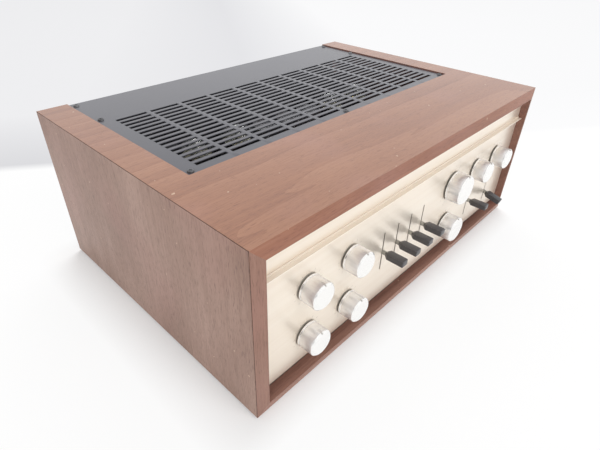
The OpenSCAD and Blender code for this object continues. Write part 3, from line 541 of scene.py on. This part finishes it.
deck, iron_y = 74, 104
stack, bell, bell_in, bolt_in, foot_t = 21, 39, 10, 5.5, 2
bolt_head = [(0, 3), (2.6, 3), (3.2, 2.4), (3.2, 0)]
foot_bolt = [(0, 2.4), (2.4, 2.4), (3, 1.8), (3, 0)]
for node, name, places, half_w, height in (("power_transformer", "power_iron", [0], 48, 84),
                                           ("output_transformers", "output_iron", [-135, 135], 37, 76)):
    shape, top = bmesh.new(), deck + height
    for x in places:
        rounded_box(shape, (x - half_w, iron_y - stack, deck), (x + half_w, iron_y + stack, top), 0.4, 2, 1)
        for near, far in ((iron_y - bell, iron_y - stack + 0.5), (iron_y + stack - 0.5, iron_y + bell)):
            rounded_box(shape, (x - half_w + bell_in, near, deck + bell_in),
                        (x + half_w - bell_in, far, top - bell_in), 6, 5)
        for side, end in ((-1, -1), (-1, 1), (1, -1), (1, 1)):
            for bolt_z in (deck + bolt_in, top - bolt_in):
                turned(shape, at(x + side*(half_w - bolt_in), iron_y + end*stack, bolt_z), (0, end, 0),
                       bolt_head, 6, 2)
            foot_x, foot_y = x + side*(half_w - 8), iron_y + end*27
            rounded_box(shape, (foot_x - 8, foot_y - 6.2, deck), (foot_x + 8, foot_y + 6, deck + foot_t),
                        0.5, 2)
            turned(shape, at(x + side*(half_w - 5), iron_y + end*28, deck + foot_t), (0, 0, 1),
                   foot_bolt, 6, 2)
    close(shape)
    piece(shape, name, [black_enamel, stack_edges, zinc], replaces=[node])


# Nine valve sockets of cream ceramic hang in holes in the deck. Each rests on the deck by its rim, and the
# rest of its body is below.
ceramic, tree, shader = finish("cream ceramic", tone(206, 198, 178), 0.5, Coat_Weight=0.15)
grain = grained(tree, 240, 5.0)
paint(tree, shader, grain, tone(186, 176, 154), tone(216, 209, 190))
relief(tree, shader, grain, 0.00008, 0.5)
refined("valve_sockets", "ceramic_sockets", [ceramic], 0.5)


# The four power valves have black moulded bases and the five small ones are all glass. Inside each bulb a
# blackened anode stands between two mica discs, and the top is silvered by the getter.
glass, tree, shader = finish("valve glass", grey(1.0), 0.03, Transmission_Weight=1.0, IOR=1.47)
paint(tree, shader, grained(tree, 60), tone(232, 238, 236), grey(1.0))
anode_metal = plated("blackened anode", tone(58, 56, 56), tone(92, 90, 88), 0.5, 120)
getter_metal = plated("getter silver", tone(84, 80, 76), tone(150, 148, 146), 0.2, 160)
mica, tree, shader = finish("mica", tone(214, 204, 180), 0.25, Transmission_Weight=0.3)
paint(tree, shader, grained(tree, 300, 4.0), tone(190, 178, 150), tone(226, 218, 198))
base_moulding = sleeve("black base moulding", tone(30, 30, 31), 0.35)

socket_top, glass_wall = deck + 7, 0.9
power_row, small_row = 38, -2
# Each kind has its places, the bulb's radius and height, the base's height and the radius of the neck.
kinds = (("power_valves", "power", [(x, power_row) for x in (-135, -81, 81, 135)], 18.9, 76, 20, 17.2),
         ("small_valves", "small", [(x, small_row) for x in (-108, -54, 0, 54, 108)], 10.9, 52, 0, 10.0))
for node, name, places, r, height, base_h, neck in kinds:
    bulb, inside, base = bmesh.new(), bmesh.new(), bmesh.new()
    dome = [(r*sin(t), height - 0.6 - r*0.55*(1 - cos(t))) for t in map(radians, range(0, 91, 10))]
    outer = dome + [(r, base_h + r*0.9), (r*0.98, base_h + r*0.6), (neck, base_h + 1),
                    (neck, base_h*0.7 + 0.2)]
    inner = [(max(p - glass_wall, 0), h - (glass_wall if h > height/2 else 0)) for p, h in outer]
    getter = [(0, dome[0][1] - 1.2)] + [(p*0.6, h - 1.2 - p*0.02) for p, h in dome[1:8]]
    base_profile = [(0, 0), (17.6, 0), (18.2, 0.6), (18.2, base_h - 2), (17.4, base_h), (16, base_h + 0.4),
                    (0, base_h + 0.4)]
    tall, wide, bottom = height - base_h - r*1.1 - 8, r*0.52, socket_top + base_h + r*0.5
    rod = bottom - socket_top - 1
    for x, y in places:
        foot = at(x, y, socket_top)
        turned(bulb, foot, (0, 0, 1), outer + inner[::-1], 40)
        turned(inside, foot, (0, 0, 1), getter, 32, 1)
        rounded_box(inside, (x - wide, y - wide*0.6, bottom), (x + wide, y + wide*0.6, bottom + tall),
                    r*0.16, 4)
        for disc in (bottom - 1.2, bottom + tall + 0.6):
            turned(inside, at(x, y, disc), (0, 0, 1), [(0, 0), (r*0.82, 0), (r*0.82, 0.6), (0, 0.6)], 24, 2)
        for side in (-1, 1):
            fin = x + side*wide*1.25
            box_of(inside, (fin - 1.2, y - 0.3, bottom + 1), (fin + 1.2, y + 0.3, bottom + tall - 1))
            turned(inside, at(x + side*r*0.4, y, socket_top + 1), (0, 0, 1),
                   [(0, 0), (0.5, 0), (0.5, rod), (0, rod)], 8, 1)
        if base_h:
            turned(base, foot, (0, 0, 1), base_profile, 40)
    for shape in (bulb, inside):
        close(shape)
    piece(bulb, name + "_bulbs", [glass], replaces=[node], smooth=50)
    piece(inside, name + "_electrodes", [anode_metal, getter_metal, mica], smooth=45)
    if base_h:
        close(base)
        piece(base, name + "_bases", [base_moulding], smooth=35)
    else:
        base.free()


# Three electrolytic capacitors stand in drawn aluminium cans between the power valves, each in a clamp
# ring, with a rolled rim round its recessed top.
drawn = plated("drawn aluminium", tone(176, 177, 180), tone(214, 215, 216), 0.34, 50)
shape = bmesh.new()
for x in (-37, 0, 37):
    turned(shape, at(x, power_row, deck), (0, 0, 1),
           [(0, 0), (16.6, 0), (17, 0.5), (17, 6), (16.5, 6.5), (16.1, 6.5), (16.1, 68), (15.6, 70),
            (14.6, 71), (13.8, 71), (13.2, 70), (13, 68.6), (4, 68.4), (3.6, 67.6), (0, 67.6)], 48)
close(shape)
piece(shape, "capacitor_housings", [drawn], replaces=["capacitor_cans"], smooth=40)


# A plated steel plate stands a little behind the panel and carries every control. The controls' threaded
# necks pass through it, and nickelled hexagon nuts hold them.
plate_zinc = plated("plate zinc", tone(124, 124, 120), tone(170, 169, 163), 0.4, 50)
refined("control_plate", "steel_control_plate", [plate_zinc], 0.2)
nickel = plated("nickel plate", tone(168, 164, 156), tone(210, 206, 198), 0.24)
refined("control_nuts", "hexagon_nuts", [nickel], 0.35)


# Six twin potentiometers with pressed covers, and two wafer switches whose contacts sit on laminate discs
# held on two studs. Solder tags stand out below.
upper_row, lower_row, switch_columns = 101.8, 48.4, (122.6, 176.0)
pressed = plated("pressed covers", tone(150, 146, 134), tone(190, 186, 172), 0.38, 90)
shape, tags_below = copy_of("potentiometers"), 12.2
for face in shape.faces:
    height = face.calc_center_median().z
    over_axis = min((height - at(0, 0, row).z for row in (upper_row, lower_row)), key=abs)
    if over_axis < -tags_below*mm:
        face.material_index = 1
soften(shape, 0.4*mm)
piece(shape, "twin_potentiometers", [pressed, nickel], replaces=["potentiometers"])

wafer = laminate("switch wafers", tone(120, 82, 44), tone(158, 112, 64))
shape, wafers_from, contacts_r = copy_of("rotary_switches"), at(0, -138.6, 0).y, 10.4
for face in shape.faces:
    middle = face.calc_center_median()
    off_axis = min(hypot(middle.x - at(x, 0, 0).x, middle.z - at(0, 0, upper_row).z)
                   for x in switch_columns)
    if middle.y > wafers_from and (off_axis > contacts_r*mm or abs(face.normal.y) > 0.9):
        face.material_index = 1
soften(shape, 0.2*mm)
piece(shape, "wafer_switches", [nickel, wafer], replaces=["rotary_switches"])


# The eight controls have turned steel shafts of six millimetres. Each runs out through the panel and ends
# inside its knob.
shaft_metal = plated("shaft steel", tone(140, 140, 136), tone(186, 186, 182), 0.3)
for name in ("bass_left", "treble_left", "bass_right", "treble_right", "volume", "balance", "mode", "source"):
    refined(name + "_shaft", name + "_spindle", [shaft_metal], 0.4, body=name + "_control")


# Each lever pivots on a nickelled pin in a bracket of folded steel, behind the panel. Its tail works a
# moulded contact block, whose three tags stand out behind.
refined("lever_brackets", "folded_brackets", [plate_zinc], 0.2)
refined("lever_pins", "pivot_pins", [nickel], 0.25)
shape, tag_l = copy_of("lever_contacts"), 3.9
back_edge = max(v.co.y for v in shape.verts)
for face in shape.faces:
    if face.calc_center_median().y > back_edge - tag_l*mm:
        face.material_index = 1
soften(shape, 0.3*mm)
piece(shape, "contact_blocks", [wafer, nickel], replaces=["lever_contacts"])


# The levers' flat steel arms come out through slots in the panel and carry moulded black paddles, satin on
# top and lighter grey along their sharp edges.
paddle_black, tree, shader = finish("paddle black", tone(36, 34, 38), 0.4, Coat_Weight=0.5,
                                    Coat_Roughness=0.25)
grain = grained(tree, 500, 4.0)
# The paddles turn lighter grey where their edges are sharp.
sharp_edges = mapped(tree, add(tree, "NewGeometry", {}).outputs["Pointiness"], 0.52, 0.6)
colour = ramp(tree, grain, (0.3, tone(31, 29, 33)), (0.7, tone(45, 43, 47)))
tree.links.new(blend(tree, sharp_edges, colour, tone(86, 84, 86)), shader.inputs["Base Color"])
gloss(tree, shader, grain, 0.36, 0.5)
relief(tree, shader, grain, 0.00004, 0.5)
for name in ("low_filter", "high_filter", "tape", "tone_defeat", "speaker", "power"):
    refined(name + "_arm", name + "_blade", [shaft_metal], 0.15, body=name + "_lever")
    shape = copy_of(name + "_paddle")
    soften(shape, 0.18*mm, angle=12)
    piece(shape, name + "_grip", [paddle_black], body=name + "_lever",
          replaces=[name + "_paddle"])


# The front panel is thick aluminium, brushed along its width and anodised a pale champagne. It has round
# holes for the controls and slots for the levers.
champagne, tree, shader = finish("champagne panel", tone(248, 236, 220), 0.31, 0.55, Anisotropic=0.3,
                                 Coat_Weight=0.5, Coat_Roughness=0.25)
hairs = grained(tree, (9, 2600, 2600), 3.0)
paint(tree, shader, grained(tree, (3, 160, 160)), tone(246, 233, 216), tone(251, 240, 225))
gloss(tree, shader, hairs, 0.28, 0.35)
relief(tree, shader, hairs, 0.00001, 0.15)
brush = add(tree, "Tangent", {}, direction_type="UV_MAP", uv_map="brush").outputs[0]
tree.links.new(brush, shader.inputs["Tangent"])


def brushed(shape):
    """Lays a flat map over a shape, with its first axis upright, for the direction of the brushing."""
    layer = shape.loops.layers.uv.new("brush")
    for face in shape.faces:
        for loop in face.loops:
            loop[layer].uv = (loop.vert.co.z*4, loop.vert.co.x*4)


shape = copy_of("front_panel")
soften(shape, 0.3*mm)
brushed(shape)
piece(shape, "metal_front", [champagne], replaces=["front_panel"])


# Fine marks are printed round the controls in a warm grey. The tone, volume and balance controls have eleven,
# numbered on the volume, and each switch position has one with a plain number.
ink, tree, shader = finish("warm grey ink", tone(180, 167, 153), 0.6)
paint(tree, shader, grained(tree, 1500), tone(170, 157, 143), tone(196, 184, 170), 0.35)
panel_face = -157.6
# Each control has its place across and up the panel and the radius of its knob.
knobs = {"bass_left": (-172.8, upper_row, 12.8), "treble_left": (-172.8, lower_row, 12.8),
         "bass_right": (-118.2, upper_row, 12.8), "treble_right": (-118.2, lower_row, 12.8),
         "volume": (65.5, 100.8, 17.3), "balance": (65.5, lower_row, 15.3),
         "mode": (switch_columns[0], upper_row, 12.8), "source": (switch_columns[1], upper_row, 12.8)}
scales = {name: range(-140, 141, 28) for name in ("bass_left", "treble_left", "bass_right", "treble_right")}
scales.update(volume=range(-150, 151, 30), balance=range(-150, 151, 30), mode=range(-60, 61, 30),
              source=range(-60, 91, 30))
tick_size, tick_out, number_out, number_h = (0.3, 0.05, 1.8), 3.2, 6.4, 2.6
shape = bmesh.new()
for name, angles in scales.items():
    x, z, r = knobs[name]
    for number, degrees in enumerate(angles):
        turn_by = Matrix.Rotation(radians(degrees), 4, "Y")
        tick = bmesh.ops.create_cube(shape, size=1)["verts"]
        bmesh.ops.scale(shape, vec=Vector(tick_size)*mm, verts=tick)
        bmesh.ops.translate(shape, vec=Vector((0, 0, r + tick_out))*mm, verts=tick)
        bmesh.ops.transform(shape, matrix=Matrix.Translation(at(x, panel_face, z)) @ turn_by, verts=tick)
        if name in ("volume", "mode", "source"):
            words = bpy.data.curves.new("number", "FONT")
            words.body = str(number if name == "volume" else number + 1)
            words.size, words.extrude, words.resolution_u = number_h*mm, 0.025*mm, 3
            words.align_x, words.align_y = "CENTER", "CENTER"
            holder = bpy.data.objects.new("number", words)
            glyph = bpy.data.meshes.new_from_object(holder)
            spot = turn_by @ Vector((0, 0, (r + number_out)*mm))
            upright_glyph = Matrix.Rotation(radians(90), 4, "X")
            glyph.transform(Matrix.Translation(at(x, panel_face, z) + spot) @ upright_glyph)
            shape.from_mesh(glyph)
            bpy.data.objects.remove(holder)
bmesh.ops.remove_doubles(shape, verts=shape.verts, dist=0.000001)
bmesh.ops.recalc_face_normals(shape, faces=shape.faces)
piece(shape, "printed_scales", [ink])


# A thin angle of the same anodised metal, left duller than the panel, runs across the panel and parts off a
# plain strip along its top. Its low back leaf lies against the panel.
shape = copy_of("panel_rail")
soften(shape, 0.2*mm)
brushed(shape)
pale_rail = champagne.copy()
pale_rail.name = "champagne rail"
pale_rail.node_tree.nodes["Principled BSDF"].inputs["Metallic"].default_value = 0.15
piece(shape, "trim_rail", [pale_rail], replaces=["panel_rail"])


# The knobs are turned from aluminium bar: a rim and a groove at the foot, a grip cut with fine straight
# flutes, a chamfer, and a cap left with the marks of the facing tool. A pale grey line across the chamfer
# is the index. The flat back round the shaft is coloured dark brown as painted shade, which darkens the
# gap between the knob's foot and the panel.
def turned_metal(name, dark, light, lines, roughness, metallic, depth):
    """Bare aluminium with the lines of the tool: round it on a cap, along it on a grip."""
    material, tree, shader = finish(name, light, roughness, metallic)
    around = add(tree, "UVMap", {}, uv_map="turned").outputs[0]
    marks = noise(tree, stretched(tree, around, lines))
    paint(tree, shader, marks, dark, light)
    gloss(tree, shader, marks, roughness - 0.06, roughness + 0.06)
    relief(tree, shader, marks, depth, 0.5)
    return material


cap_metal = turned_metal("faced aluminium", tone(249, 248, 246), tone(255, 254, 252), (2, 260, 0),
                         0.22, 0.85, 0.00003)
grip_metal = turned_metal("fluted aluminium", tone(240, 237, 235), tone(255, 255, 255), (110, 1, 0),
                          0.24, 0.62, 0.000012)
# Painted shade: the knob's flat back round the shaft is coloured dark brown to darken the gap at its foot.
knob_foot_shade = sleeve("knob foot painted shade", tone(54, 47, 43), 0.6)
index_line, tree, shader = finish("index line", tone(212, 208, 203), 0.5)
paint(tree, shader, grained(tree, 900), tone(184, 180, 175), tone(208, 204, 199))
knob_back, grip_low, grip_high = panel_face - 1.2, 2.4*mm, 15.3*mm
flute_width, flute_depth, bore = 1.05, 0.04*mm, 4*mm
index_half, index_from, index_to = 0.3, 11, 16.9
for name, (x, z, r) in knobs.items():
    shape = bmesh.new()
    centre = at(x, knob_back, z)
    flutes = round(2*pi*r/flute_width)
    turned(shape, centre, (0, -1, 0),
           [(0, 12), (3.05, 12), (3.05, 0), (r - 0.4, 0), (r, 0.35), (r, 1.3), (r - 0.25, 1.6),
            (r - 0.6, 1.65), (r - 0.6, 2.15), (r - 0.3, 2.2), (r - 0.1, 2.5), (r - 0.1, 15.1),
            (r - 0.25, 15.5), (r - 1.5, 16.8), (r - 1.9, 17), (r - 3.1, 17), (r - 3.4, 16.8), (0, 16.8)],
           2*flutes)
    close(shape)

    def on_grip(vert):
        out = hypot(vert.co.x - centre.x, vert.co.z - centre.z)
        return grip_low < centre.y - vert.co.y < grip_high and out > bore

    for vert in shape.verts:
        step = round(atan2(vert.co.z - centre.z, vert.co.x - centre.x)/(pi/flutes))
        if on_grip(vert) and step % 2:
            deeper = 1 - flute_depth/hypot(vert.co.x - centre.x, vert.co.z - centre.z)
            vert.co.x = centre.x + (vert.co.x - centre.x)*deeper
            vert.co.z = centre.z + (vert.co.z - centre.z)*deeper
    layer = shape.loops.layers.uv.new("turned")
    for face in shape.faces:
        if all(on_grip(v) for v in face.verts):
            face.material_index = 2
        # The flat back at the foot takes the dark brown painted shade.
        elif all(centre.y - v.co.y < 0.1*mm for v in face.verts):
            face.material_index = 3
        for loop in face.loops:
            reach = loop.vert.co - centre
            out = hypot(reach.x, reach.z)
            loop[layer].uv = (atan2(reach.z, reach.x)/(2*pi), (out - reach.y)/(20*mm))
    box_of(shape, (x - index_half, knob_back - index_to, z + r - 2),
           (x + index_half, knob_back - index_from, z + r - 0.02), 1)
    piece(shape, name + "_cap", [cap_metal, index_line, grip_metal, knob_foot_shade],
          body=name + "_control", replaces=[name + "_knob"], smooth=24)


# The vent cover is punched from sheet steel, sixteen rows of ten slots, and painted a satin dark grey. It
# lies in a rebate of the top board, a little below the veneer.
cover_grey = enamel("cover grey", tone(70, 70, 77), 0.32, 0.00003, coat=0.75)
cover_top, cover_t = 174.4, 1.2
half, front, back = 205.7, -56.5, 164
slot_w, row_step, columns, rows = 4.6, 8.8, 10, 16
first_x, slot_l, column_step, first_y = -189.5, 33.49, 38.39, -44.2
shape = bmesh.new()
bmesh.ops.create_grid(shape, x_segments=1, y_segments=1, size=0.5)
low, high = at(-half, front, cover_top), at(half, back, cover_top)
bmesh.ops.scale(shape, vec=(high.x - low.x, high.y - low.y, 1), verts=shape.verts)
bmesh.ops.translate(shape, vec=(low + high)/2, verts=shape.verts)
cuts = [(at(first_x + i*column_step + end, 0, 0), (1, 0, 0)) for i in range(columns) for end in (0, slot_l)]
cuts += [(at(0, first_y + j*row_step + end, 0), (0, 1, 0)) for j in range(rows) for end in (0, slot_w)]
for place, normal in cuts:
    bmesh.ops.bisect_plane(shape, geom=shape.verts[:] + shape.edges[:] + shape.faces[:], dist=0.000001,
                           plane_co=place, plane_no=normal)


def in_slot(face):
    middle = face.calc_center_median() - at(first_x, first_y, 0)
    column, row = middle.x/(column_step*mm), middle.y/(row_step*mm)
    return (0 < column < columns and 0 < row < rows and column % 1 < slot_l/column_step
            and row % 1 < slot_w/row_step)


bmesh.ops.delete(shape, geom=[f for f in shape.faces if in_slot(f)], context="FACES")
skin = bmesh.ops.extrude_face_region(shape, geom=shape.faces[:])["geom"]
bmesh.ops.translate(shape, vec=(0, 0, -cover_t*mm),
                    verts=[v for v in skin if isinstance(v, bmesh.types.BMVert)])
bmesh.ops.recalc_face_normals(shape, faces=shape.faces)
soften(shape, 0.22*mm)
piece(shape, "slotted_cover", [cover_grey], replaces=["vent_cover"])


# Seven small cross-headed screws of dark grey plated steel hold the cover down in its rebate, and four of
# the same hold the rear panel to the chassis.
dark_steel = plated("blackened steel", tone(96, 96, 98), tone(146, 146, 148), 0.34)
refined("small_screws", "cross_screws", [dark_steel], 0.12)


# The rear panel is painted steel. It closes the back between the boards, with a window for the jacks and
# holes for the fuse and the cord.
rear_grey = enamel("rear grey", tone(92, 92, 94), 0.42)
refined("rear_panel", "steel_back", [rear_grey], 0.2)


# Twelve signal jacks stand in two rows on a laminate plate: a nickelled shell round a coloured insulator,
# red in the upper row and white in the lower one, with the contact tube in the middle.
plate_black = laminate("black laminate", tone(34, 33, 32), tone(52, 50, 48))
red_ring = sleeve("red insulator", tone(168, 44, 38), 0.35)
white_ring = sleeve("white insulator", tone(222, 218, 208), 0.35)
outside, plate_t, plate_x, plate_z, half_w, half_h = 152.5, 2, -150, 100, 60, 23
jack_step, jack_row = 18, 10
shell = [(6.2, 0), (6.2, 0.5), (5.9, 0.7), (4.2, 0.7), (4.2, 8.6), (3.9, 9), (3.5, 9), (3.4, 8.6), (3.4, 0.6)]
insulator = [(3.4, 0), (3.4, 7.6), (3.1, 7.9), (1.8, 7.9), (1.8, 1)]
contact = [(1.8, 0), (1.8, 8.2), (1.55, 8.4), (1.35, 8.2), (1.35, 1), (0, 1)]
shape = bmesh.new()
rounded_box(shape, (plate_x - half_w, outside, plate_z - half_h),
            (plate_x + half_w, outside + plate_t, plate_z + half_h), 0.4, 2)
for i in range(6):
    for up, ring in ((1, 2), (-1, 3)):
        spot = at(plate_x + (i - 2.5)*jack_step, outside + plate_t, plate_z + up*jack_row)
        for profile, steps, material in ((shell, 28, 1), (insulator, 24, ring), (contact, 16, 1)):
            turned(shape, spot, (0, 1, 0), profile, steps, material)
close(shape)
piece(shape, "jack_field", [plate_black, nickel, red_ring, white_ring],
      replaces=["signal_jacks"], smooth=35)


# The speaker wires go under six plated screws on a black moulded strip with a wall between each pair. The
# strip lies flat on the rear panel and is held from inside.
strip_black = sleeve("black strip moulding", tone(36, 35, 36), 0.42)
shape = copy_of("speaker_terminals")
screws_from, screw_step, half_wall = at(0, outside + 4, 0).y + 0.05*mm, 11, 0.75
screw_left, screw_right = 1.2, 9.8
strip_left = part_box("speaker_terminals")[0].x
for face in shape.faces:
    middle = face.calc_center_median()
    from_wall = ((middle.x - strip_left)/mm - half_wall) % screw_step
    if middle.y > screws_from and screw_left < from_wall < screw_right:
        face.material_index = 1
soften(shape, 0.25*mm)
piece(shape, "terminal_strip", [strip_black, nickel], replaces=["speaker_terminals"])


# The fuse sits in a black moulded holder behind a slotted bayonet cap. Two outlets for other equipment and
# the rubber gland of the mains cord are beside it.
fuse_black = sleeve("fuse moulding", tone(34, 33, 34), 0.34)
refined("fuse_holder", "fuse_tube", [fuse_black], 0.3)
refined("fuse_cap", "bayonet_cap", [fuse_black], 0.3, body="fuse")
outlet_brown = sleeve("outlet moulding", tone(62, 42, 34), 0.36)
refined("mains_outlets", "twin_outlets", [outlet_brown], 0.6)
refined("mains_gland", "cord_gland", [rubber], 0.5)

bpy.context.view_layer.update()
